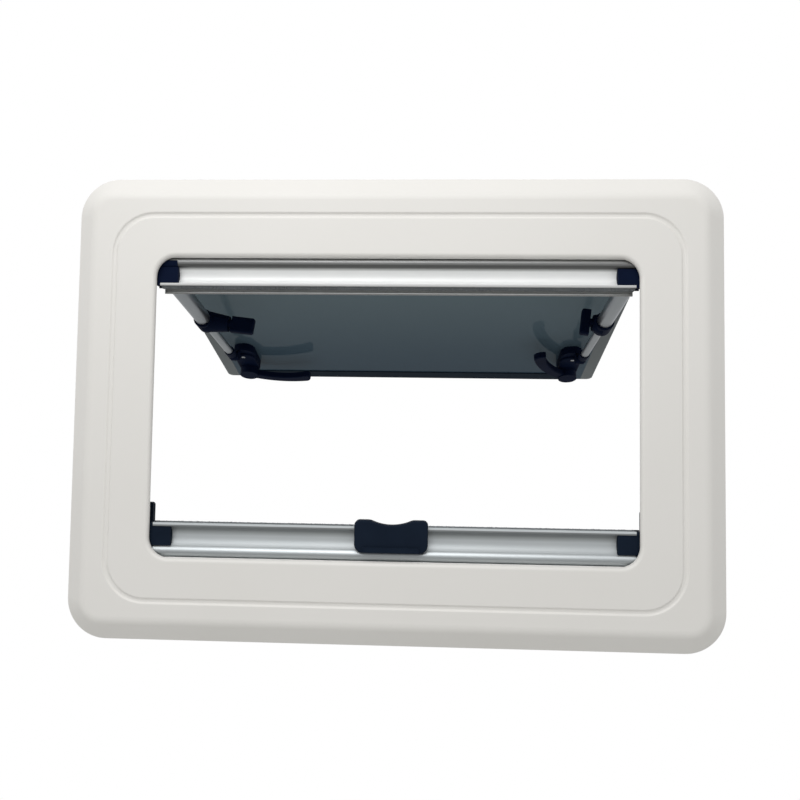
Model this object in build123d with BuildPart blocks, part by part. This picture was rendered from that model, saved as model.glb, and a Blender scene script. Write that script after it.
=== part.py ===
import os
from math import atan, atan2, cos, degrees, hypot, radians, sin, sqrt

from build123d import *

# Frame: X right as seen from indoors, Y outwards, Z up, in mm. Y = 0 is the wall's inner surface.
wall_thick = 26.0
cutout_w = 600.0
cutout_h = 400.0
cutout_r = 45.0

# indoor trim
trim_over_x = 40.0
trim_over_z = 43.8
trim_r = 42.0
trim_deep = 22.0
trim_rim = 4.0
rim_soft = 2.0
bevel = 22.0
bevel_soft = 14.0
foot = 12.0
skin = 3.0
lip_thick = 5.0
lip_round = 4.2
clear_in_x = 49.8
clear_in_z = 43.7
clear_r = 21.0
groove_out_x = 43.8
groove_out_z = 43.7
groove_r = 41.0
groove_wide = 6.0
groove_deep = 1.5
groove_slope = 45.0
groove_soft = 1.8
groove_round = 2.2
rib_in_x = 15.0
rib_in_z = 3.0
rib_r = 34.0
rib_thick = 4.0
rib_reach = 1.0

# outdoor frame and seal
cut_clear = 2.0
flange_over = 20.0
flange_r = 50.0
flange_thick = 8.0
flange_soft = 3.0
inner_in_x = 27.0
inner_in_z = 32.0
inner_r = 13.0
seal_set = 0.5
seal_wide = 6.0
seal_high = 10.0
seal_soft = 2.8

# sash, shown open
open_below = 19.75
pane_over_x = 15.0
pane_over_z = 18.7
pane_start = 10.0
pane_r = 8.0
inner_sheet = 2.5
outer_sheet = 3.0
dome_inset = 26.0
dome_high = 11.5
dome_taper = 40.0
dome_r = 16.0
strip_inset = 46.0
strip_edge = 1.1
strip_wide = 20.0
strip_high = 1.5

# hinge
hinge_out = 16.0
hinge_drop = 3.6
bead_r = 4.0
hook_gap = 0.35
hook_thick = 3.0
hook_from = 122.0
hook_to = 258.0
arm_thick = 3.0
rail_inset = 8.0
rail_edge = 1.0
rail_tall = 19.0
rail_thick = 3.5
grip_thick = 2.0
grip_start = 6.0
grip_long = 20.0

# stays
stay_in = 21.8
anchor_sunk = 6.0
anchor_drop = 23.4
pivot_back = 114.2
pivot_h = 20.7
rod_r = 5.5
rod_gap = 0.4
rod_from = 12.0
rod_lap = 48.0
tube_wall = 3.6
tube_from = 22.0
tube_long = 121.0
plug_long = 5.0
plug_rim = 3.0
socket_wall = 1.4
socket_from = 10.0
socket_long = 15.0
eye_r = 7.0
eye_thick = 5.6
pin_r = 3.0
pin_gap = 0.06
ear_gap = 0.5
ear_thick = 4.5
ear_back = 22.0
ear_sunk = 2.0
pin_head = 2.0
pin_head_r = 5.0
lap_gap = 0.3
lug_r = 6.0
lug_thick = 4.0
foot_over = 4.0
neck_wide = 9.0
collar_wall = 2.5
collar_lap = 15.0
collar_out = 9.0
collar_soft = 1.5
boss_lap = 2.0
boss_r = 10.0
boss_root = 14.0
left_boss = 31.0
right_boss = 13.0
left_boss_turn = 6.5
right_boss_turn = -8.0
knob_gap = 0.5
knob_hub = 3.0
knob_hub_r = 5.5
knob_pin = 2.5
left_wing = 29.0
right_wing = 11.0
left_wing_long = 21.0
right_wing_long = 34.0
wing_thick = 10.0
wing_soft = 3.0
left_wing_turn = 90.0
right_wing_turn = 90.0

# latches
latch_off = 11.0
latch_wide = 30.0
latch_r = 14.5
latch_before = 0.3
latch_rise = 11.1
latch_after = 14.0
latch_low = 11.0
latch_high = 14.0
latch_soft = 2.0
lever_back = 57.1
lever_hub_r = 13.5
lever_gap = 0.3
lever_hub_high = 11.5
lever_lift = 1.0
lever_thick = 8.5
lever_soft = 1.5
lever_pin_r = 4.0
lever_pin_high = 8.5
lever_tail = 7.0
lever_root = 9.0
lever_long = 90.0
lever_bow = 16.5
lever_bow_in = 2.5
lever_tip_low = 6.5
lever_tip_high = 12.5
lever_tip_out = 4.5
lever_tilt = 3.5
left_lever_up = -3.0
right_lever_up = 54.0
keeper_reach = 10.2
keeper_deep = 7.0
keeper_up = 39.0
keeper_tall = 25.0
keeper_soft = 3.0

# blinds
bar_short = 2.7
bar_gap = 2.0
bar_deep = 17.0
bar_tuck = 2.2
nose_cusp = 3.5
channel_wall = 2.0
channel_deep = 7.5
blind_nose = 13.9
blind_channel = 20.0
blind_lip = 3.7
blind_drop = 0.0
fly_nose = 11.9
fly_channel = 17.1
fly_lip = 2.6
fly_drop = 5.9
lip_wall = 2.0
rear_wall = 1.8
slot_web = 1.2
plug_in = 18.5
plug_sunk = 0.8
plate_thick = 6.5
tab_thick = 7.0
tab_reach = 7.0
slot_gap = 0.5
guide_gap = 2.0
guide_wall = 3.0
guide_deep = 13.0
guide_over = 0.7
roller_r = 8.5
roller_gap = 0.5
roller_out = 15.7
roller_over = 11.8
bracket_reach = 10.0
bracket_over = 2.0
catch_w = 75.2
catch_over = 6.6
catch_under = 2.8
catch_out = 4.0
catch_top_r = 5.0
catch_low_r = 9.0
catch_soft = 1.5
scoop_half = 21.5
scoop_deep = 4.9
scoop_soft = 12.0
ledge_in = 9.0
ledge_up = 1.0
ledge_out = 2.5
ledge_high = 5.0

# sizes that follow from the cut-out
trim_w = cutout_w + 2 * trim_over_x
trim_h = cutout_h + 2 * trim_over_z
clear_w = cutout_w - 2 * clear_in_x
clear_h = cutout_h - 2 * clear_in_z
groove_w = clear_w + 2 * groove_out_x
groove_h = clear_h + 2 * groove_out_z
rib_w = cutout_w - 2 * rib_in_x
rib_h = cutout_h - 2 * rib_in_z
flange_w = cutout_w + 2 * flange_over
flange_h = cutout_h + 2 * flange_over
inner_w = cutout_w - 2 * inner_in_x
inner_h = cutout_h - 2 * inner_in_z
flange_y = wall_thick + flange_thick
lip_back = lip_thick - trim_deep

# sash and hinge
hinge_y = flange_y + hinge_out
hinge_z = cutout_h / 2 - hinge_drop
pane_w = inner_w + 2 * pane_over_x
pane_len = hinge_z + inner_h / 2 + pane_over_z
edge_thick = inner_sheet + outer_sheet
strip_end = pane_len - strip_edge
rail_half = pane_w / 2 - rail_inset
rail_mid = flange_h / 2 - rail_edge - rail_tall / 2
hook_r = bead_r + hook_gap
grip_end = grip_start + grip_long

# stays and latches
stay_x = inner_w / 2 - stay_in
pivot_t = pane_len - pivot_back
bore_r = rod_r + rod_gap
tube_r = bore_r + tube_wall
tube_to = tube_from + tube_long
socket_r = rod_r + socket_wall
collar_r = tube_r + collar_wall
collar_from = tube_to - collar_lap
collar_to = tube_to + collar_out
boss_at = tube_to - boss_lap
latch_x = stay_x - latch_off
lever_t = pane_len - lever_back
latch_from = pivot_t - latch_before
latch_step = pivot_t + latch_rise
latch_to = lever_t + latch_after
ear_in = stay_x - eye_thick / 2 - ear_gap - ear_thick
ear_out = stay_x + eye_thick / 2 + ear_gap

# blinds
bar_half = clear_w / 2 - bar_short
bar_front = lip_back + bar_gap
bar_back = bar_front + bar_deep
bar_edge = clear_h / 2 + bar_tuck
channel_back = bar_front + channel_deep
nose_back = bar_front + nose_cusp
plug_front = bar_front + plug_sunk
plate_out = bar_half + plate_thick
guide_in = plate_out + guide_gap
slot_end = guide_in + tab_reach
guide_out = slot_end + guide_wall
guide_half = clear_h / 2 + guide_over
guide_mid = lip_back + guide_deep / 2
roller_y = rib_reach - roller_gap - roller_r
roller_z = clear_h / 2 + roller_out
roller_half = clear_w / 2 + roller_over

touch = 0.01

os.makedirs("parts", exist_ok=True)

sash_tilt = radians(open_below)
along = Vector(0, cos(sash_tilt), -sin(sash_tilt))
inward = Vector(0, -sin(sash_tilt), -cos(sash_tilt))
hinge_point = Vector(0, hinge_y, hinge_z)
sash_face = Plane(origin=hinge_point, x_dir=(1, 0, 0), z_dir=inward)
sash_side = Plane(origin=hinge_point, x_dir=along, z_dir=(1, 0, 0))
sash_depth = Axis(tuple(hinge_point), tuple(inward))
anchor = Vector(0, wall_thick - anchor_sunk, inner_h / 2 - anchor_drop)
stay_pivot = hinge_point + along * pivot_t + inward * pivot_h
stay_line = stay_pivot - anchor
stay_len = stay_line.length
stay_dir = stay_line.normalized()
stay_low = Vector(0, stay_dir.Z, -stay_dir.Y)
rod_to = stay_len - tube_to + rod_lap


def facing(y):
    """A plane across the window at depth y, with X and Z as its own axes, facing indoors."""
    return Plane(origin=(0, y, 0), x_dir=(1, 0, 0), z_dir=(0, -1, 0))


def side_plane(x):
    """A plane across the sill at X, with Y and Z as its own axes."""
    return Plane(origin=(x, 0, 0), x_dir=(0, 1, 0), z_dir=(1, 0, 0))


def stay_plane(side, distance):
    """A plane across the stay at a distance from its anchor, facing the sash."""
    point = anchor + stay_dir * distance + Vector(side * stay_x, 0, 0)
    return Plane(origin=point, x_dir=(1, 0, 0), z_dir=stay_dir)


def boss_plane(side, turn, distance):
    """A plane across a clamp's boss at a distance from the stay, facing the window's middle."""
    axis = Vector(-side, 0, 0) * cos(radians(turn)) + stay_low * sin(radians(turn))
    point = anchor + stay_dir * boss_at + Vector(side * stay_x, 0, 0) + axis * distance
    return Plane(origin=point, x_dir=stay_dir, z_dir=axis)


def level_edges(part, y):
    """The edges of a part that lie at depth y."""
    return part.edges().filter_by_position(Axis.Y, y - touch, y + touch)


def front_rings(part):
    """The trim's flat front faces, the inner one first."""
    faces = part.faces().filter_by_position(Axis.Y, -trim_deep - touch, touch - trim_deep)
    return faces.sort_by(lambda face: face.bounding_box().size.X)


def finish(part, name):
    part.label = name
    export_step(part, f"parts/{name}.step")


# indoor trim: bevelled face with a hollow back
front_taper = degrees(atan(bevel / (trim_deep - trim_rim)))
hollow_deep = trim_deep - skin
hollow_taper = degrees(atan(foot / hollow_deep))
with BuildPart() as interior_trim:
    with BuildSketch(facing(0)):
        RectangleRounded(trim_w, trim_h, trim_r)
    extrude(amount=trim_rim)
    with BuildSketch(facing(-trim_rim)):
        RectangleRounded(trim_w, trim_h, trim_r)
    extrude(amount=trim_deep - trim_rim, taper=front_taper)
    fillet(level_edges(interior_trim, -trim_deep), bevel_soft)
    fillet(level_edges(interior_trim, -trim_rim), rim_soft)
    with BuildSketch(facing(0)):
        RectangleRounded(trim_w - 2 * foot, trim_h - 2 * foot, trim_r - foot)
    extrude(amount=hollow_deep, taper=hollow_taper, mode=Mode.SUBTRACT)
    with BuildSketch(facing(rib_reach)):
        RectangleRounded(rib_w, rib_h, rib_r)
    extrude(amount=trim_deep - skin + rib_reach)
    with BuildSketch(facing(rib_reach)):
        RectangleRounded(rib_w - 2 * rib_thick, rib_h - 2 * rib_thick, rib_r - rib_thick)
    extrude(amount=rib_reach - lip_back, mode=Mode.SUBTRACT)
    with BuildSketch(facing(-trim_deep)):
        RectangleRounded(groove_w + groove_wide, groove_h + groove_wide, groove_r + groove_wide / 2)
        RectangleRounded(
            groove_w - groove_wide, groove_h - groove_wide, groove_r - groove_wide / 2, mode=Mode.SUBTRACT
        )
    extrude(amount=-groove_deep, taper=groove_slope, mode=Mode.SUBTRACT)
    with BuildSketch(facing(0)):
        RectangleRounded(clear_w, clear_h, clear_r)
    extrude(amount=trim_deep, mode=Mode.SUBTRACT)
    fillet(level_edges(interior_trim, groove_deep - trim_deep), groove_round)
    fillet(front_rings(interior_trim)[-1].inner_wires()[0].edges(), groove_soft)
    fillet(front_rings(interior_trim)[0].outer_wire().edges(), groove_soft)
    fillet(front_rings(interior_trim)[0].inner_wires()[0].edges(), lip_round)
finish(interior_trim.part, "interior_trim")

# outdoor frame: flange on the wall's outer surface and a collar through the cut-out
with BuildPart() as outer_frame:
    with BuildSketch(facing(wall_thick)):
        RectangleRounded(flange_w, flange_h, flange_r)
    extrude(amount=-flange_thick)
    with BuildSketch(facing(wall_thick)):
        RectangleRounded(cutout_w - 2 * cut_clear, cutout_h - 2 * cut_clear, cutout_r - cut_clear)
    extrude(amount=wall_thick - rib_reach)
    with BuildSketch(facing(flange_y)):
        RectangleRounded(inner_w, inner_h, inner_r)
    extrude(amount=flange_y, mode=Mode.SUBTRACT)
    outer_rim = outer_frame.faces().sort_by(Axis.Y)[-1].outer_wire().edges()
    fillet(outer_rim, flange_soft)
finish(outer_frame.part, "outer_frame")

# rubber seal on the flange, under the closed sash
seal_out = 2 * (seal_set + seal_wide)
with BuildPart() as outer_seal:
    with BuildSketch(facing(flange_y)):
        RectangleRounded(inner_w + seal_out, inner_h + seal_out, inner_r + seal_out / 2)
        RectangleRounded(inner_w + 2 * seal_set, inner_h + 2 * seal_set, inner_r + seal_set, mode=Mode.SUBTRACT)
    extrude(amount=-seal_high)
    fillet(outer_seal.faces().sort_by(Axis.Y)[-1].edges(), seal_soft)
finish(outer_seal.part, "outer_seal")

# hinge rail: plate on the flange with an arm and a round bead on the hinge line
arm_y = flange_y + rail_thick / 2
arm_len = hypot(hinge_y - arm_y, hinge_z - rail_mid)
arm_turn = degrees(atan2(hinge_z - rail_mid, hinge_y - arm_y))
with BuildPart() as hinge_rail:
    with BuildSketch(side_plane(-rail_half)):
        with Locations((arm_y, rail_mid)):
            Rectangle(rail_thick, rail_tall)
        with Locations((hinge_y, hinge_z)):
            Circle(bead_r)
        with Locations(Location(((hinge_y + arm_y) / 2, (hinge_z + rail_mid) / 2, 0), (0, 0, arm_turn))):
            Rectangle(arm_len, arm_thick)
    extrude(amount=2 * rail_half)
finish(hinge_rail.part, "hinge_rail")

# guide rails for the ends of both bars
for side, name in ((-1, "left"), (1, "right")):
    with BuildPart() as guide_rail:
        with Locations((side * (guide_in + guide_out) / 2, guide_mid, 0)):
            Box(guide_out - guide_in, guide_deep, 2 * guide_half)
        with Locations((side * (guide_in + slot_end) / 2, guide_mid, 0)):
            Box(tab_reach, tab_thick + 2 * slot_gap, 2 * guide_half, mode=Mode.SUBTRACT)
    finish(guide_rail.part, f"{name}_guide_rail")

# spring rollers above and below the opening, each with its two end brackets
for level, name in ((1, "fly_screen_roller"), (-1, "blind_roller")):
    with BuildPart() as roller:
        with BuildSketch(side_plane(-roller_half)):
            with Locations((roller_y, level * roller_z)):
                Circle(roller_r)
        extrude(amount=2 * roller_half)
        for side in (-1, 1):
            bracket_x = side * (roller_half + bracket_reach / 2)
            with Locations((bracket_x, (lip_back + rib_reach) / 2, level * roller_z)):
                Box(bracket_reach, rib_reach - lip_back, 2 * (roller_r + bracket_over))
    finish(roller.part, name)


def bar_heights(level, nose, channel, lip, drop):
    """Heights on a pull bar: outer edge, channel's far and near side, front lip and rear lip."""
    edge = level * bar_edge
    far = edge - level * nose
    near = far - level * channel
    tip = near - level * lip
    return edge, far, near, tip, tip - level * drop


def channel_lines(far, near):
    """The concave channel of a bar as Y, Z lines, from its nose to the front lip."""
    wall = bar_front + channel_wall
    ThreePointArc((nose_back, far), (channel_back, (far + near) / 2), (wall, near))


def outside_lines(edge, far, near, tip, back):
    """The rest of a bar's outline: front lip, seal slot, rear lip, outer edge and rounded nose."""
    nose = abs(far - edge)
    nose_r = nose + nose_cusp - sqrt(2 * nose * nose_cusp)
    turn = nose_r if edge < far else -nose_r
    slot_top = near + (slot_web if edge < far else -slot_web)
    slot_front = bar_front + lip_wall
    slot_back = bar_back - rear_wall
    bend = bar_front + nose_r
    Polyline((bar_front, near), (bar_front, tip), (slot_front, tip), (slot_front, slot_top))
    Polyline((slot_front, slot_top), (slot_back, slot_top), (slot_back, back), (bar_back, back))
    Polyline((bar_back, back), (bar_back, edge), (bend, edge))
    ThreePointArc((bend, edge), (bar_front, edge + turn), (nose_back, far))


def bar_lines(edge, far, near, tip, back):
    """The whole outline of a bar."""
    channel_lines(far, near)
    Line((bar_front + channel_wall, near), (bar_front, near))
    outside_lines(edge, far, near, tip, back)


fly_heights = bar_heights(1, fly_nose, fly_channel, fly_lip, fly_drop)
blind_heights = bar_heights(-1, blind_nose, blind_channel, blind_lip, blind_drop)
for heights, name in ((fly_heights, "fly_screen_bar"), (blind_heights, "blind_bar")):
    with BuildPart() as bar:
        with BuildSketch(side_plane(-bar_half)):
            with BuildLine():
                bar_lines(*heights)
            make_face()
        extrude(amount=2 * bar_half)
    finish(bar.part, name)

# black plugs in the bars' channels, each with an end plate and a tab in the guide rail
for side, hand in ((-1, "left"), (1, "right")):
    for heights, name in ((fly_heights, "fly_bar_end"), (blind_heights, "blind_bar_end")):
        edge, far, near, tip = heights[:4]
        with BuildPart() as bar_end:
            with BuildSketch(side_plane(side * (bar_half - plug_in))):
                with BuildLine():
                    channel_lines(far, near)
                    Polyline((bar_front + channel_wall, near), (plug_front, near), (plug_front, far), (nose_back, far))
                make_face()
            extrude(amount=side * plug_in)
            with BuildSketch(side_plane(side * bar_half)):
                with BuildLine():
                    Polyline((nose_back, far), (plug_front, far), (plug_front, near), (bar_front, near))
                    outside_lines(edge, far, near, tip, tip)
                make_face()
            extrude(amount=side * plate_thick)
            with Locations((side * (plate_out + slot_end) / 2, guide_mid, (far + near) / 2)):
                Box(slot_end - plate_out, tab_thick, abs(far - near))
        finish(bar_end.part, f"{hand}_{name}")

# finger catch on the blind's bar
catch_low = blind_heights[1] - catch_under
catch_top = blind_heights[4] + catch_over
catch_front = bar_front - catch_out
scoop_r = (scoop_half**2 + scoop_deep**2) / (2 * scoop_deep)
with BuildPart() as blind_catch:
    with BuildSketch(facing(channel_back)) as catch_face:
        with Locations((0, (catch_low + catch_top) / 2)):
            Rectangle(catch_w, catch_top - catch_low)
        fillet(catch_face.vertices().group_by(Axis.Y)[0], catch_low_r)
        fillet(catch_face.vertices().group_by(Axis.Y)[-1], catch_top_r)
        with Locations((0, catch_top - scoop_deep + scoop_r)):
            Circle(scoop_r, mode=Mode.SUBTRACT)
        scoop_ends = catch_face.vertices().group_by(Axis.Y)[-1].sort_by(lambda point: abs(point.X))[:2]
        fillet(scoop_ends, scoop_soft)
    extrude(amount=channel_back - catch_front)
    fillet(blind_catch.faces().sort_by(Axis.Y)[0].edges(), catch_soft)
    with Locations((0, catch_front - ledge_out / 2, catch_low + ledge_up + ledge_high / 2)):
        Box(catch_w - 2 * ledge_in, ledge_out, ledge_high)
    with BuildSketch(side_plane(-catch_w / 2)):
        with BuildLine():
            bar_lines(*blind_heights)
        make_face()
    extrude(amount=catch_w, mode=Mode.SUBTRACT)
finish(blind_catch.part, "blind_catch")

# latch keepers and stay anchors on the outdoor frame's side walls
keeper_z = keeper_up + keeper_tall / 2 - inner_h / 2
lug_in = stay_x + eye_thick / 2 + lap_gap
lug_out = lug_in + lug_thick
for side, hand in ((-1, "left"), (1, "right")):
    with BuildPart() as latch_keeper:
        with Locations((side * (inner_w - keeper_reach) / 2, wall_thick + keeper_deep / 2, keeper_z)):
            Box(keeper_reach, keeper_deep, keeper_tall)
        free_edges = latch_keeper.faces().sort_by(Axis.X)[0 if side > 0 else -1].edges().filter_by(Axis.Y)
        fillet(free_edges, keeper_soft)
    finish(latch_keeper.part, f"{hand}_latch_keeper")

    with BuildPart() as stay_anchor:
        with BuildSketch(side_plane(side * lug_in)):
            with Locations((anchor.Y, anchor.Z)):
                Circle(lug_r)
        extrude(amount=side * (inner_w / 2 - lug_in))
        with BuildSketch(side_plane(side * lug_out)):
            with Locations((anchor.Y, anchor.Z)):
                Rectangle(2 * lug_r, 2 * (lug_r + foot_over))
        extrude(amount=side * (inner_w / 2 - lug_out))
    finish(stay_anchor.part, f"{hand}_stay_anchor")

# double pane: flat sheet indoors, domed sheet outdoors
pane_span = pane_len - pane_start
pane_mid = -(pane_len + pane_start) / 2
with BuildPart() as pane_inner_sheet:
    with BuildSketch(sash_face):
        with Locations((0, pane_mid)):
            RectangleRounded(pane_w, pane_span, pane_r)
    extrude(amount=-inner_sheet)
finish(pane_inner_sheet.part, "pane_inner_sheet")

dome_w = pane_w - 2 * dome_inset
dome_span = pane_span - 2 * dome_inset
with BuildPart() as pane_outer_sheet:
    with BuildSketch(sash_face.offset(-inner_sheet)):
        with Locations((0, pane_mid)):
            RectangleRounded(pane_w, pane_span, pane_r)
    extrude(amount=-outer_sheet)
    with BuildSketch(sash_face.offset(-edge_thick)):
        with Locations((0, pane_mid)):
            RectangleRounded(dome_w, dome_span, dome_r)
    extrude(amount=-dome_high, taper=dome_taper)
    with BuildSketch(sash_face.offset(-inner_sheet)):
        with Locations((0, pane_mid)):
            RectangleRounded(dome_w - outer_sheet, dome_span - outer_sheet, dome_r - outer_sheet / 2)
    extrude(amount=-dome_high, taper=dome_taper, mode=Mode.SUBTRACT)
finish(pane_outer_sheet.part, "pane_outer_sheet")

# hook profile round the rail's bead, gripping the pane's top edge
wedge = 2 * (hook_r + hook_thick)
with BuildPart() as sash_hinge_profile:
    with BuildSketch(sash_side.offset(-rail_half)):
        Circle(hook_r + hook_thick)
        Circle(hook_r, mode=Mode.SUBTRACT)
        with BuildLine():
            Polyline(
                (0, 0),
                (wedge * cos(radians(hook_from)), wedge * sin(radians(hook_from))),
                (-wedge, 0),
                (wedge * cos(radians(hook_to)), wedge * sin(radians(hook_to))),
                close=True,
            )
        make_face(mode=Mode.SUBTRACT)
        with Locations(((grip_start + pane_start) / 2, edge_thick / 2)):
            Rectangle(pane_start - grip_start, edge_thick + 2 * grip_thick)
        for level in (-grip_thick / 2, edge_thick + grip_thick / 2):
            with Locations(((grip_start + grip_end) / 2, level)):
                Rectangle(grip_long, grip_thick)
    extrude(amount=2 * rail_half)
finish(sash_hinge_profile.part, "sash_hinge_profile")

# dark strip along the free edge
with BuildPart() as sash_edge_strip:
    with BuildSketch(sash_face):
        with Locations((0, strip_wide / 2 - strip_end)):
            Rectangle(pane_w - 2 * strip_inset, strip_wide)
    extrude(amount=strip_high)
finish(sash_edge_strip.part, "sash_edge_strip")

# latches on the pane, each with an ear and a headed pin for the stay
for side, hand in ((-1, "left"), (1, "right")):
    with BuildPart() as latch_base:
        with BuildSketch(sash_face):
            with Locations((side * latch_x, -(latch_from + latch_to) / 2)):
                RectangleRounded(latch_wide, latch_to - latch_from, latch_r)
        extrude(amount=latch_low)
        with BuildSketch(sash_face.offset(latch_low)):
            with Locations((side * latch_x, -(latch_step + latch_to) / 2)):
                RectangleRounded(latch_wide, latch_to - latch_step, latch_r)
        extrude(amount=latch_high - latch_low)
        fillet(latch_base.faces().sort_by(sash_depth)[-1].edges(), latch_soft)
        with BuildSketch(sash_face.offset(latch_high)):
            with Locations((side * latch_x, -lever_t)):
                Circle(lever_pin_r)
        extrude(amount=lever_pin_high)
        with BuildSketch(sash_side.offset(side * ear_in)):
            with Locations((pivot_t, -pivot_h)):
                Circle(eye_r)
            with BuildLine():
                Polyline(
                    (pivot_t - eye_r, -pivot_h),
                    (pivot_t + eye_r, ear_sunk - latch_low),
                    (pivot_t + ear_back, ear_sunk - latch_low),
                    (pivot_t + eye_r, -pivot_h),
                    close=True,
                )
            make_face()
        extrude(amount=side * ear_thick)
        with BuildSketch(sash_side.offset(side * ear_in)):
            with Locations((pivot_t, -pivot_h)):
                Circle(pin_r)
        extrude(amount=side * (ear_out - ear_in))
        with BuildSketch(sash_side.offset(side * ear_out)):
            with Locations((pivot_t, -pivot_h)):
                Circle(pin_head_r)
        extrude(amount=side * pin_head)
    finish(latch_base.part, f"{hand}_latch_base")

def lever_plane(side, lift):
    """A plane on a latch's turning axis: X along the lever, tilted off the pane, Y towards the hinge."""
    reach = Vector(-side * cos(radians(lift)), 0, 0) - along * sin(radians(lift))
    height = inward * (latch_high + lever_gap + lever_lift)
    hub = hinge_point + along * lever_t + height + Vector(side * latch_x, 0, 0)
    slope = radians(lever_tilt)
    lever_up = inward * cos(slope) - reach * sin(slope)
    return Plane(origin=hub, x_dir=reach * cos(slope) + inward * sin(slope), z_dir=lever_up * -side)


# banana levers on the latches
lever_tip_mid = (lever_tip_high - lever_tip_low) / 2
tail = (-lever_tail, -lever_root)
root = (-lever_tail, lever_root)
tip_low = (lever_long, -lever_tip_low)
tip_high = (lever_long, lever_tip_high)
for side, hand, lift in ((-1, "left", left_lever_up), (1, "right", right_lever_up)):
    lever_face = lever_plane(side, lift)
    with BuildPart() as latch_lever:
        with BuildSketch(lever_face):
            with BuildLine():
                ThreePointArc(tail, (lever_long / 2, -lever_bow), tip_low)
                ThreePointArc(tip_low, (lever_long + lever_tip_out, lever_tip_mid), tip_high)
                ThreePointArc(tip_high, (lever_long / 2, -lever_bow_in), root)
                Line(root, tail)
            make_face()
        extrude(amount=-side * lever_thick)
        top = latch_lever.faces().sort_by(sash_depth)[-1]
        fillet(top.edges(), lever_soft)
        with BuildSketch(sash_face.offset(latch_high + lever_gap)):
            with Locations((side * latch_x, -lever_t)):
                Circle(lever_hub_r)
        extrude(amount=lever_hub_high)
        with BuildSketch(sash_face.offset(latch_high + lever_gap)):
            with Locations((side * latch_x, -lever_t)):
                Circle(lever_pin_r + pin_gap)
        extrude(amount=lever_pin_high, mode=Mode.SUBTRACT)
    finish(latch_lever.part, f"{hand}_latch_lever")

# telescoping stays: rod on the latch's pin, tube from the anchor, clamp collar and wing knob
stay_sides = (
    (-1, "left", left_boss, left_boss_turn, (left_wing, left_wing_long, left_wing_turn)),
    (1, "right", right_boss, right_boss_turn, (right_wing, right_wing_long, right_wing_turn)),
)
for side, hand, boss_long, boss_turn, wing in stay_sides:
    wing_deep, wing_long, wing_turn = wing
    eye_in = side * (stay_x - eye_thick / 2)
    with BuildPart() as stay_rod:
        with BuildSketch(stay_plane(side, stay_len - rod_from)):
            Circle(rod_r)
        extrude(amount=rod_from - rod_to)
    finish(stay_rod.part, f"{hand}_stay_rod")

    stay_side = Plane(origin=stay_pivot, x_dir=stay_dir * -1, z_dir=(1, 0, 0))
    with BuildPart() as rod_end:
        with BuildSketch(stay_side.offset(eye_in)):
            Circle(eye_r)
            with Locations((rod_from / 2, 0)):
                Rectangle(rod_from, neck_wide)
        extrude(amount=side * eye_thick)
        with BuildSketch(stay_plane(side, stay_len - socket_from)):
            Circle(socket_r)
        extrude(amount=-socket_long)
        with BuildSketch(stay_plane(side, stay_len - rod_from)):
            Circle(rod_r)
        extrude(amount=rod_from - socket_from - socket_long, mode=Mode.SUBTRACT)
        with BuildSketch(stay_side.offset(eye_in)):
            Circle(pin_r + pin_gap)
        extrude(amount=side * eye_thick, mode=Mode.SUBTRACT)
    finish(rod_end.part, f"{hand}_rod_end")

    with BuildPart() as stay_tube:
        with BuildSketch(stay_plane(side, tube_from)):
            Circle(tube_r)
            Circle(bore_r, mode=Mode.SUBTRACT)
        extrude(amount=tube_long)
    finish(stay_tube.part, f"{hand}_stay_tube")

    anchor_side = Plane(origin=anchor, x_dir=stay_dir, z_dir=(1, 0, 0))
    with BuildPart() as tube_end:
        with BuildSketch(anchor_side.offset(eye_in)):
            Circle(eye_r)
            with Locations((tube_from / 2, 0)):
                Rectangle(tube_from, neck_wide)
        extrude(amount=side * eye_thick)
        with BuildSketch(stay_plane(side, tube_from)):
            Circle(bore_r)
        extrude(amount=plug_long)
        with BuildSketch(stay_plane(side, tube_from)):
            Circle(tube_r)
        extrude(amount=-plug_rim)
    finish(tube_end.part, f"{hand}_tube_end")

    boss_taper = degrees(atan((boss_root - boss_r) / boss_long))
    with BuildPart() as clamp_collar:
        with BuildSketch(stay_plane(side, collar_from)):
            Circle(collar_r)
        extrude(amount=collar_to - collar_from)
        fillet(clamp_collar.edges().filter_by(GeomType.CIRCLE), collar_soft)
        with BuildSketch(boss_plane(side, boss_turn, 0)):
            Circle(boss_root)
        extrude(amount=boss_long, taper=boss_taper)
        with BuildSketch(stay_plane(side, collar_from - boss_root)):
            Circle(tube_r)
        extrude(amount=boss_root + collar_lap, mode=Mode.SUBTRACT)
        with BuildSketch(stay_plane(side, tube_to)):
            Circle(bore_r)
        extrude(amount=collar_out + boss_root, mode=Mode.SUBTRACT)
        with BuildSketch(boss_plane(side, boss_turn, boss_long)):
            Circle(pin_r + pin_gap)
        extrude(amount=-knob_pin - knob_gap, mode=Mode.SUBTRACT)
    finish(clamp_collar.part, f"{hand}_clamp_collar")

    knob_start = boss_long + knob_gap
    with BuildPart() as clamp_knob:
        with BuildSketch(boss_plane(side, boss_turn, boss_long - knob_pin)):
            Circle(pin_r)
        extrude(amount=knob_pin + knob_gap)
        with BuildSketch(boss_plane(side, boss_turn, knob_start)):
            Circle(knob_hub_r)
        extrude(amount=knob_hub)
        with BuildSketch(boss_plane(side, boss_turn, knob_start + knob_hub)):
            RectangleRounded(wing_long, wing_thick, wing_soft, rotation=wing_turn)
        extrude(amount=wing_deep)
        fillet(clamp_knob.faces().sort_by(Axis.X)[0 if side > 0 else -1].edges(), wing_soft)
    finish(clamp_knob.part, f"{hand}_clamp_knob")
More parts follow.
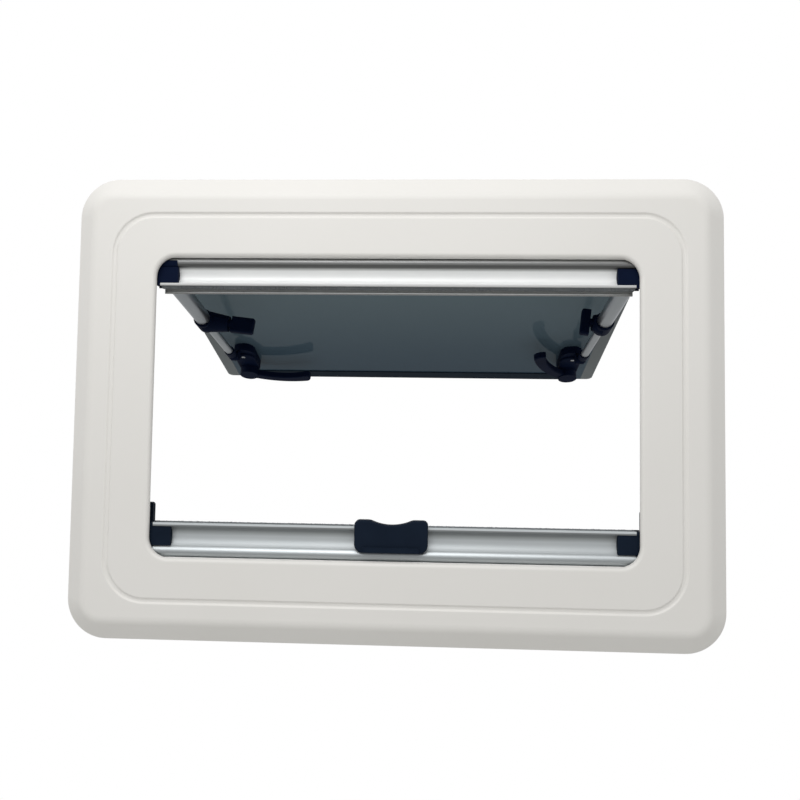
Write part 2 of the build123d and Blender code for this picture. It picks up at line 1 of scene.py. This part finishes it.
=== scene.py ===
import math
import random
import bmesh
import bpy
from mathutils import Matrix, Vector


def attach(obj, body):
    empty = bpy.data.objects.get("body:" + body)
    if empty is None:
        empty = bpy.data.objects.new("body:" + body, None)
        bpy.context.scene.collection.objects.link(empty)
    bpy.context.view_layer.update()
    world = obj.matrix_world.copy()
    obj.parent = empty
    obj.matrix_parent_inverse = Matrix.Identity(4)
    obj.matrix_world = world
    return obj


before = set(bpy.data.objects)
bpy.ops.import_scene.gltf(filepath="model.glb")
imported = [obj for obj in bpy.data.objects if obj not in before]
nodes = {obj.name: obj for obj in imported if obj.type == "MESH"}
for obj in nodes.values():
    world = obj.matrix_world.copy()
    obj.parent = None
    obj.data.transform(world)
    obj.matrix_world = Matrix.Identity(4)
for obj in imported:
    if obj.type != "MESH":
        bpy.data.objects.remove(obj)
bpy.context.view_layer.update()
draw = random.Random(7)
print("frame loaded,", len(nodes), "nodes")


# shader maths: a socket that takes plain operators
class Wire:
    def __init__(self, tree, socket):
        self.tree = tree
        self.socket = socket

    def maths(self, operation, first, second):
        node = self.tree.nodes.new("ShaderNodeMath")
        node.operation = operation
        for slot, value in zip(node.inputs, (first, second)):
            plug(self.tree, slot, value)
        return Wire(self.tree, node.outputs[0])

    def __add__(self, other):
        return self.maths("ADD", self, other)

    def __radd__(self, other):
        return self.maths("ADD", other, self)

    def __sub__(self, other):
        return self.maths("SUBTRACT", self, other)

    def __rsub__(self, other):
        return self.maths("SUBTRACT", other, self)

    def __mul__(self, other):
        return self.maths("MULTIPLY", self, other)

    def __rmul__(self, other):
        return self.maths("MULTIPLY", other, self)

    def __truediv__(self, other):
        return self.maths("DIVIDE", self, other)


def plug(tree, slot, value):
    if isinstance(value, Wire):
        tree.links.new(value.socket, slot)
    elif slot.type == "RGBA" and len(value) == 3:
        slot.default_value = (*value, 1.0)
    else:
        slot.default_value = value


# one node tree with its helpers, for a material or the world
class Finish:
    def __init__(self, owner):
        owner.use_nodes = True
        self.owner = owner
        self.tree = owner.node_tree
        self.tree.nodes.clear()

    def add(self, kind, settings=None, inputs=None, out=0):
        node = self.tree.nodes.new("ShaderNode" + kind)
        for name, value in (settings or {}).items():
            if name == "stops":
                ramp = node.color_ramp.elements
                while len(ramp) < len(value):
                    ramp.new(0.5)
                for stop, (place, colour) in zip(ramp, value):
                    stop.position = place
                    stop.color = (*colour, 1.0)
            else:
                setattr(node, name, value)
        for name, value in (inputs or {}).items():
            plug(self.tree, node.inputs[name], value)
        return Wire(self.tree, node.outputs[out]) if len(node.outputs) else node

    def place(self, stretch=(1, 1, 1)):  # the piece's own coordinates, in metres, stretched for grain
        spot = self.add("TexCoord", out="Object")
        return self.add("Mapping", {"vector_type": "POINT"}, {"Vector": spot, "Scale": stretch})

    def noise(self, scale, detail=3.0, rough=0.5, stretch=(1, 1, 1)):
        return self.add("TexNoise", {"noise_dimensions": "3D"},
                        {"Vector": self.place(stretch), "Scale": scale, "Detail": detail, "Roughness": rough})

    def blend(self, mask, first, second):
        return self.add("Mix", {"data_type": "RGBA"}, {0: mask, 6: first, 7: second}, out=2)

    def bump(self, height, distance, strength=1.0):
        return self.add("Bump", None, {"Height": height, "Distance": distance, "Strength": strength})

    def surface(self, inputs):
        shader = self.add("BsdfPrincipled", None, inputs)
        self.add("OutputMaterial", None, {"Surface": shader})
        return self.owner


def newFinish(name):
    return Finish(bpy.data.materials.new(name))


def srgb(red, green, blue):  # a colour given 0 to 255, as the linear value that shaders take
    shares = (red / 255, green / 255, blue / 255)
    return tuple(c / 12.92 if c <= 0.04045 else ((c + 0.055) / 1.055) ** 2.4 for c in shares)


def dress(material, *names):
    for name in names:
        mesh = nodes[name].data
        mesh.materials.clear()
        mesh.materials.append(material)


def bothSides(*names):
    return [side + name for name in names for side in ("left_", "right_")]


# pale moulded plastic of the indoor trim
trimLook = {"pale": srgb(237, 235, 231), "warm": srgb(233, 231, 226), "cloudSize": 7.0,
            "rough": 0.46, "spread": 0.08, "grainSize": 1500.0, "grain": 0.00005, "depth": 0.35, "bend": 1.5}


def trimPlastic(look):
    finish = newFinish("trimPlastic")
    cloud = finish.noise(look["cloudSize"], 4.0)
    grain = finish.noise(look["grainSize"], 2.0)
    return finish.surface({
        "Base Color": finish.blend(cloud, look["warm"], look["pale"]),
        "Roughness": look["rough"] + look["spread"] * (grain - 0.5),
        "Normal": finish.bump(grain, look["grain"], look["depth"]),
        "IOR": look["bend"],
    })


def heightBands(finish, bands):  # a grey level that follows height: rows of height in metres and level
    low, high = bands[0][0], bands[-1][0]
    height = finish.add("SeparateXYZ", None, {"Vector": finish.place()}, out="Z")
    stops = [((z - low) / (high - low), (level, level, level)) for z, level in bands]
    return finish.add("ValToRGB", {"stops": stops}, {"Fac": (height - low) / (high - low)})


# satin anodised metal, brushed along X
brush = {"size": 60.0, "stretch": (0.06, 9.0, 9.0), "cloudSize": 22.0, "depth": 0.4}


def brushedMetal(name, look):
    finish = newFinish(name)
    streak = finish.noise(brush["size"], 4.0, 0.6, brush["stretch"])
    colour = finish.blend(finish.noise(brush["cloudSize"], 3.0), look["dark"], look["light"])
    # painted shade: a look's bands darken the colour by height, standing in for the shade on the bars
    if "bands" in look:
        level = heightBands(finish, look["bands"])
        colour = finish.add("VectorMath", {"operation": "MULTIPLY"}, {0: colour, 1: level})
    return finish.surface({
        "Base Color": colour,
        "Metallic": heightBands(finish, look["metal"]) if "metal" in look else 1.0,
        "Roughness": look["rough"] + look["spread"] * (streak - 0.5),
        "Normal": finish.bump(streak, look["grain"], brush["depth"]),
    })


barLook = {"light": srgb(248, 249, 248), "dark": srgb(240, 242, 242),
           "rough": 0.44, "spread": 0.12, "grain": 0.00004}
flyPaintedShadeBands = {"bands": ((0.1266, 0.4), (0.1305, 1.0), (0.144, 1.0),  # painted shade: grey lip and a dark nose in the trim lip's shadow, the channel left pale
                      (0.147, 0.15), (0.1492, 0.15), (0.1506, 0.4)),
            "metal": ((0.134, 0.2), (0.138, 0.03), (0.1455, 0.03), (0.147, 1.0))}
blindPaintedShadeBands = {"light": srgb(243, 249, 251), "dark": srgb(235, 242, 245),
              "bands": ((-0.1485, 0.62), (-0.1443, 0.55), (-0.134, 0.7),  # painted shade: the channel darkens towards its top under the lip, nose and lip lighter
                        (-0.128, 0.28), (-0.1234, 0.25), (-0.1227, 0.8)),
              "metal": ((-0.147, 1.0), (-0.1455, 0.3))}
railLook = {"light": srgb(205, 207, 208), "dark": srgb(190, 193, 195),
            "rough": 0.4, "spread": 0.14, "grain": 0.00006}
tubeLook = {"light": srgb(176, 180, 184), "dark": srgb(160, 165, 170),
            "rough": 0.36, "spread": 0.1, "grain": 0.00003}


# moulded plastic with a fine spark-eroded grain: black, and its other tones
blackLook = {"deep": srgb(7, 16, 38), "worn": srgb(13, 25, 50),
             "rough": 0.6, "grain": 0.00008, "shine": 0.15, "bend": 1.25}
catchTone = {"deep": srgb(18, 27, 40), "worn": srgb(27, 37, 52)}
stripTone = {"deep": srgb(22, 34, 46), "worn": srgb(32, 44, 56)}
mould = {"grainSize": 900.0, "cloudSize": 40.0, "spread": 0.16, "depth": 0.5}


def mouldedPlastic(name, look):
    finish = newFinish(name)
    grain = finish.noise(mould["grainSize"], 2.0, 0.6)
    cloud = finish.noise(mould["cloudSize"], 3.0)
    return finish.surface({
        "Base Color": finish.blend(cloud, look["deep"], look["worn"]),
        "Roughness": look["rough"] + mould["spread"] * (grain - 0.5),
        "Normal": finish.bump(grain, look["grain"], mould["depth"]),
        "Specular IOR Level": look["shine"],
        "IOR": look["bend"],
    })


# tinted acrylic of the double pane: painted light, paler near the hinge and darker towards the free edge, and
# paler on the bonded rim
paneLook = {"near": srgb(118, 135, 142), "far": srgb(63, 82, 97), "rim": srgb(124, 129, 131),
            "rough": 0.06, "haze": 0.04, "hazeSize": 14.0, "rimRough": 0.25,
            "hingeSide": 0.06, "freeSide": 0.41, "rimFrom": 0.270, "rimTo": 0.272,
            "shine": 0.065, "through": 0.12, "bend": 1.49, "tint": (0.82, 0.95, 1.0, 1.0)}


def tintedAcrylic(name, look):
    finish = newFinish(name)
    haze = finish.noise(look["hazeSize"], 4.0, 0.55)
    spot = finish.place()
    across = finish.add("SeparateXYZ", None, {"Vector": spot}, out="X")
    outward = finish.add("SeparateXYZ", None, {"Vector": spot}, out="Y")
    fade = finish.add("MapRange", {"interpolation_type": "SMOOTHSTEP"},
                      {"Value": outward, "From Min": look["hingeSide"], "From Max": look["freeSide"]})
    aside = finish.add("Math", {"operation": "ABSOLUTE"}, {0: across})
    rim = finish.add("MapRange", None,
                     {"Value": aside, "From Min": look["rimFrom"], "From Max": look["rimTo"]})
    # painted light and shade: the body colour runs from pale at the hinge to dark at the free edge
    body = finish.blend(fade, look["near"], look["far"])
    return finish.surface({
        "Base Color": finish.blend(rim, body, look["rim"]),
        "Roughness": look["rough"] + look["haze"] * (haze - 0.5) + look["rimRough"] * rim,
        "Transmission Weight": look["through"],
        "Specular IOR Level": look["shine"],
        "IOR": look["bend"],
        "Specular Tint": look["tint"],
    })


# rubber, hard grey plastics and the rollers' steel
rubberLook = {"deep": srgb(28, 29, 31), "worn": srgb(44, 45, 47),
              "rough": 0.72, "grain": 0.00012, "shine": 0.3, "bend": 1.4}
frameLook = {"deep": srgb(118, 121, 124), "worn": srgb(130, 133, 135),
             "rough": 0.5, "grain": 0.00008, "shine": 0.5, "bend": 1.5}
guideLook = {"deep": srgb(196, 195, 191), "worn": srgb(208, 207, 203),
             "rough": 0.5, "grain": 0.00006, "shine": 0.5, "bend": 1.5}
rollerLook = {"light": srgb(168, 170, 172), "dark": srgb(150, 153, 156),
              "rough": 0.45, "spread": 0.12, "grain": 0.00005}

black = mouldedPlastic("blackPlastic", blackLook)
dress(trimPlastic(trimLook), "interior_trim")
dress(mouldedPlastic("frameGrey", frameLook), "outer_frame")
dress(mouldedPlastic("sealRubber", rubberLook), "outer_seal")
dress(brushedMetal("hingeMetal", railLook), "hinge_rail", "sash_hinge_profile")
dress(brushedMetal("flyBarMetal", {**barLook, **flyPaintedShadeBands}), "fly_screen_bar")
dress(brushedMetal("blindBarMetal", {**barLook, **blindPaintedShadeBands}), "blind_bar")
dress(brushedMetal("stayMetal", tubeLook), *bothSides("stay_tube", "stay_rod"))
dress(brushedMetal("rollerSteel", rollerLook), "fly_screen_roller", "blind_roller")
dress(mouldedPlastic("guideGrey", guideLook), *bothSides("guide_rail"))
dress(mouldedPlastic("catchPlastic", {**blackLook, **catchTone}),
      "blind_catch", *bothSides("blind_bar_end", "latch_keeper"))
dress(mouldedPlastic("stripPlastic", {**blackLook, **stripTone}), "sash_edge_strip")
dress(black, *bothSides(
    "fly_bar_end", "stay_anchor", "latch_base", "latch_lever",
    "rod_end", "tube_end", "clamp_collar", "clamp_knob"))
dress(tintedAcrylic("tintedAcrylic", paneLook), "pane_inner_sheet", "pane_outer_sheet")
print("finishes done")


# new pieces, built as meshes, each riding a body
def addPiece(name, build, material, body, smooth=False):
    mesh = bpy.data.meshes.new(name)
    bmesh.ops.recalc_face_normals(build, faces=build.faces)
    for face in build.faces:
        face.smooth = smooth
    build.to_mesh(mesh)
    build.free()
    mesh.materials.append(material)
    piece = bpy.data.objects.new(name, mesh)
    bpy.context.scene.collection.objects.link(piece)
    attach(piece, body)


def skin(build, loops):  # faces between one ring of points and the next, with both ends capped
    rings = [[build.verts.new(point) for point in loop] for loop in loops]
    for first, second in zip(rings, rings[1:]):
        count = len(first)
        for i in range(count):
            j = (i + 1) % count
            build.faces.new((first[i], first[j], second[j], second[i]))
    build.faces.new(rings[0][::-1])
    build.faces.new(rings[-1])


# pile strips that seal the bars against each other: rows of short bristle tufts
pileLook = {"deep": srgb(116, 120, 123), "worn": srgb(150, 154, 157),
            "rough": 0.85, "grain": 0.0002, "shine": 0.2, "bend": 1.3}
flyPile = {"spans": ((-0.2472, 0.2472),), "root": 0.1287, "tip": 0.1248}
blindPile = {"spans": ((-0.2472, -0.0385), (0.0385, 0.2472)), "root": -0.1238, "tip": -0.1203}
tuft = {"rows": (-0.0102, -0.0074, -0.0046), "step": 0.0012, "wide": 0.0007, "deep": 0.0012,
        "taper": 0.55, "ragged": 0.0003, "lean": 0.0004}
square = ((-1, -1), (1, -1), (1, 1), (-1, 1))


def pileStrip(name, look, material):
    build = bmesh.new()
    for start, end in look["spans"]:
        for row in tuft["rows"]:
            for i in range(int((end - start) / tuft["step"])):
                x = start + (i + 0.5) * tuft["step"]
                lean = draw.uniform(-1, 1) * tuft["lean"]
                tip = look["tip"] + draw.uniform(-1, 1) * tuft["ragged"]
                loops = []
                for z, size, shift in ((look["root"], 1.0, 0.0), (tip, tuft["taper"], lean)):
                    wide, deep = tuft["wide"] * size, tuft["deep"] * size
                    loops.append([(x + shift + a * wide, row + shift + b * deep, z) for a, b in square])
                skin(build, loops)
    addPiece(name, build, material, "frame")


# pale soft gasket on the back of the trim's lip, closing the gap to each bar
gasketLook = {"half": 0.2465, "pieces": 60, "wave": 0.00008,
              "profile": ((-0.01705, 0.1588), (-0.01705, 0.1567), (-0.0166, 0.156), (-0.0155, 0.1559),
                          (-0.0144, 0.1563), (-0.0136, 0.1571), (-0.0131, 0.1588))}
gasketTone = {"deep": srgb(230, 229, 226), "worn": srgb(240, 239, 236)}


def lipGasket(name, side, look, material):
    build = bmesh.new()
    loops = []
    for i in range(look["pieces"] + 1):
        x = look["half"] * (2 * i / look["pieces"] - 1)
        shift = draw.uniform(-1, 1) * look["wave"]
        loops.append([(x, y, side * (z + shift)) for y, z in look["profile"]])
    skin(build, loops)
    addPiece(name, build, material, "frame", smooth=True)


# rolled bead along the foot of the fly screen bar's rear lip
beadLook = {"half": 0.2472, "at": (0.0002, 0.1227), "radius": 0.0008, "sunk": 0.0002,
            "taper": 0.0012, "end": 0.35, "sides": 12}


def lipBead(look, material):
    build = bmesh.new()
    half, (y, z) = look["half"], look["at"]
    full = half - look["taper"]
    angles = [math.radians(180 * i / look["sides"] - 90) for i in range(look["sides"] + 1)]
    loops = []
    for x, size in ((-half, look["end"]), (-full, 1.0), (full, 1.0), (half, look["end"])):
        radius = look["radius"] * size
        front = [(x, y - radius * math.cos(angle), z + radius * math.sin(angle)) for angle in angles]
        loops.append(front + [(x, y + look["sunk"], z + radius), (x, y + look["sunk"], z - radius)])
    skin(build, loops)
    addPiece("fly_lip_bead", build, material, "frame", smooth=True)


# black cover over the nose of the fly screen bar, at its left end
coverLook = {"from": -0.2475, "to": -0.2295, "centre": (-0.008727, 0.152227), "nose": 0.006273,
             "over": 0.0007, "sunk": 0.0002, "soft": 0.0006, "start": 170.0, "end": 243.0, "steps": 28}


def noseCover(look, material):
    build = bmesh.new()
    y, z = look["centre"]
    low, high = look["nose"] - look["sunk"], look["nose"] + look["over"]
    outline = ((look["from"], low), (look["from"], high), (look["to"] - look["soft"], high),
               (look["to"], high - look["soft"]), (look["to"], low))
    loops = []
    for i in range(look["steps"] + 1):
        angle = math.radians(look["start"] + (look["end"] - look["start"]) * i / look["steps"])
        loops.append([(x, y + r * math.cos(angle), z + r * math.sin(angle)) for x, r in outline])
    skin(build, loops)
    addPiece("fly_nose_cover", build, material, "frame")


# pan-head screws and rivets: a domed head with an optional cross recess
steelLook = {"light": srgb(188, 190, 192), "dark": srgb(166, 169, 172),
             "rough": 0.28, "spread": 0.1, "grain": 0.00002}
headLook = {"segments": 40, "rings": 14, "skirt": 0.25, "arm": 0.13, "reach": 0.6,
            "cut": 0.45, "sunk": 0.0004}


def domedHead(name, at, axis, radius, high, material, body, cross=True):
    build = bmesh.new()
    turn = Vector((0, 0, 1)).rotation_difference(Vector(axis)).to_matrix()
    loops = []
    for ring in range(headLook["rings"], 0, -1):
        share = ring / headLook["rings"]
        loop = []
        for i in range(headLook["segments"]):
            angle = 2 * math.pi * i / headLook["segments"]
            u, v = share * math.cos(angle), share * math.sin(angle)
            rise = headLook["skirt"] + (1 - headLook["skirt"]) * math.sqrt(max(0.0, 1 - share ** 2))
            if cross and share < headLook["reach"] and min(abs(u), abs(v)) < headLook["arm"]:
                rise -= headLook["cut"]
            loop.append((u * radius, v * radius, rise * high))
        if ring == headLook["rings"]:
            loops.append([(x, y, -headLook["sunk"]) for x, y, z in loop])
        loops.append(loop)
    skin(build, [[Vector(at) + turn @ Vector(point) for point in loop] for loop in loops])
    addPiece(name, build, material, body, smooth=not cross)


# black caps on the ends of the hinge
capLook = {"centre": (0.05, 0.1964), "radius": 0.0073, "from": 0.2799, "to": 0.2822,
           "soft": 0.0008, "sides": 36}


def hingeCap(name, side, look, material):
    build = bmesh.new()
    y, z = look["centre"]
    angles = [2 * math.pi * i / look["sides"] for i in range(look["sides"])]
    loops = []
    for x, radius in ((look["from"], look["radius"]), (look["to"] - look["soft"], look["radius"]),
                      (look["to"], look["radius"] - look["soft"])):
        loops.append([(side * x, y + radius * math.cos(angle), z + radius * math.sin(angle))
                      for angle in angles])
    skin(build, loops)
    addPiece(name, build, material, "frame")


# places on the open sash: along the pane from the hinge line, and off its indoor face
sashLook = {"hinge": (0.05, 0.1964), "below": 19.75}


def onSash(x, along, off):
    tilt = math.radians(sashLook["below"])
    return (x, sashLook["hinge"][0] + along * math.cos(tilt) - off * math.sin(tilt),
            sashLook["hinge"][1] - along * math.sin(tilt) - off * math.cos(tilt))


latchScrew = {"x": 0.2415, "along": 0.2868, "off": 0.014, "radius": 0.0027, "high": 0.0014}
railScrew = {"y": 0.0375, "z": 0.2125, "reach": 0.24, "count": 5, "radius": 0.0034, "high": 0.0018}
anchorRivet = {"x": 0.2484, "y": 0.02, "z": 0.1446, "radius": 0.0042, "high": 0.002}

pile = mouldedPlastic("pile", pileLook)
steel = brushedMetal("screwSteel", steelLook)
pileStrip("fly_pile_strip", flyPile, pile)
pileStrip("blind_pile_strip", blindPile, pile)
gasket = mouldedPlastic("gasketRubber", {**pileLook, **gasketTone})
lipGasket("top_lip_gasket", 1, gasketLook, gasket)
lipGasket("bottom_lip_gasket", -1, gasketLook, gasket)
lipBead(beadLook, brushedMetal("beadMetal", barLook))
noseCover(coverLook, black)
down = Vector(onSash(0, 0, 1)) - Vector(onSash(0, 0, 0))
for side, hand in ((-1, "left"), (1, "right")):
    hingeCap(hand + "_hinge_cap", side, capLook, black)
    seat = onSash(side * latchScrew["x"], latchScrew["along"], latchScrew["off"])
    domedHead(hand + "_latch_screw", seat, down, latchScrew["radius"], latchScrew["high"], steel, "sash")
    seat = (side * anchorRivet["x"], anchorRivet["y"], anchorRivet["z"])
    domedHead(hand + "_anchor_rivet", seat, (-side, 0, 0), anchorRivet["radius"], anchorRivet["high"],
              steel, "frame", cross=False)
for i in range(railScrew["count"]):
    x = railScrew["reach"] * (2 * i / (railScrew["count"] - 1) - 1)
    domedHead("rail_screw_" + str(i + 1), (x, railScrew["y"], railScrew["z"]), (0, 1, 0),
              railScrew["radius"], railScrew["high"], steel, "frame")
print("pieces done")

# floor, light and camera
floorLook = {"at": (0.0, 0.2, -0.95), "reach": 2.6, "sides": 96, "pale": srgb(226, 226, 224),
             "lift": 0.5, "fadeFrom": 0.45, "fadeTo": 1.0}
lampLook = {"at": (-0.2, -0.95, 0.95), "aim": (0.0, 0.0, 0.05), "size": 1.1, "power": 9.2}
skyLook = {"high": 0.64, "low": 0.44, "front": 0.46, "ground": 0.3, "lean": 0.6,
           "roomFrom": -0.8, "roomTo": 0.2, "groundFrom": -0.5, "groundTo": 0.2}
cameraLook = {"at": (0.043076, -0.795707, -0.029926), "turn": (92.8579, -0.8412, 2.5985),
              "lens": 34.2, "sensor": 36.0, "nearest": 0.01}
white = (1.0, 1.0, 1.0)


def seenDirectly(finish, *others):  # camera rays and the other kinds named, which show the background white
    path = finish.tree.nodes.new("ShaderNodeLightPath")
    seen = Wire(finish.tree, path.outputs["Is Camera Ray"])
    for name in others:
        other = Wire(finish.tree, path.outputs[name])
        seen = finish.add("Math", {"operation": "MAXIMUM"}, {0: seen, 1: other})
    return seen


def paleFloor(look):
    mesh = bpy.data.meshes.new("floor")
    build = bmesh.new()
    bmesh.ops.create_circle(build, cap_ends=True, segments=look["sides"], radius=look["reach"])
    build.to_mesh(mesh)
    build.free()
    floor = bpy.data.objects.new("floor", mesh)
    floor.location = look["at"]
    bpy.context.scene.collection.objects.link(floor)
    finish = newFinish("floorPaper")
    far = finish.add("VectorMath", {"operation": "LENGTH"}, {0: finish.place()}, out="Value")
    fade = finish.add("MapRange", {"interpolation_type": "SMOOTHSTEP"},
                      {"Value": far, "From Min": look["fadeFrom"], "From Max": look["fadeTo"]})
    paper = finish.add("BsdfDiffuse", None, {"Color": look["pale"]})
    glow = finish.add("Emission", None, {"Color": white, "Strength": 1.0})
    lift = seenDirectly(finish, "Is Transmission Ray") * (look["lift"] + (1 - look["lift"]) * fade)
    shader = finish.add("MixShader", None, {0: lift, 1: paper, 2: glow})
    finish.add("OutputMaterial", None, {"Surface": shader})
    mesh.materials.append(finish.owner)


def softLamp(name, look):
    data = bpy.data.lights.new(name, "AREA")
    data.size = look["size"]
    data.energy = look["power"]
    lamp = bpy.data.objects.new(name, data)
    lamp.location = look["at"]
    lamp.rotation_euler = (Vector(look["aim"]) - lamp.location).to_track_quat("-Z", "Y").to_euler()
    bpy.context.scene.collection.objects.link(lamp)


def paleSky(look):
    finish = Finish(bpy.context.scene.world or bpy.data.worlds.new("sky"))
    bpy.context.scene.world = finish.owner
    way = finish.add("TexCoord", out="Generated")
    up = finish.add("SeparateXYZ", None, {"Vector": way}, out="Z")
    glow = finish.add("MapRange", None, {"Value": up, "From Min": -1.0, "From Max": 1.0,
                                         "To Min": look["low"], "To Max": look["high"]})
    ahead = finish.add("SeparateXYZ", None, {"Vector": way}, out="Y") + look["lean"] * up
    room = finish.add("MapRange", {"interpolation_type": "SMOOTHSTEP"},  # dimmer behind the camera
                      {"Value": ahead, "From Min": look["roomFrom"], "From Max": look["roomTo"],
                       "To Min": look["front"], "To Max": 1.0})
    ground = finish.add("MapRange", {"interpolation_type": "SMOOTHSTEP"},
                        {"Value": up, "From Min": look["groundFrom"], "From Max": look["groundTo"],
                         "To Min": look["ground"], "To Max": 1.0})
    camera = finish.add("LightPath", out="Is Camera Ray")
    seen = seenDirectly(finish, "Is Glossy Ray", "Is Transmission Ray")
    strength = camera + (seen - camera) * room * ground + (1 - seen) * glow
    background = finish.add("Background", None, {"Color": white, "Strength": strength})
    finish.add("OutputWorld", None, {"Surface": background})


def photoCamera(look):
    data = bpy.data.cameras.new("camera")
    data.lens = look["lens"]
    data.sensor_width = look["sensor"]
    data.clip_start = look["nearest"]
    camera = bpy.data.objects.new("camera", data)
    camera.location = look["at"]
    camera.rotation_euler = [math.radians(angle) for angle in look["turn"]]
    bpy.context.scene.collection.objects.link(camera)
    bpy.context.scene.camera = camera


paleFloor(floorLook)
softLamp("lamp", lampLook)
paleSky(skyLook)
photoCamera(cameraLook)
bpy.context.scene.view_settings.view_transform = "Standard"
print("stage done")
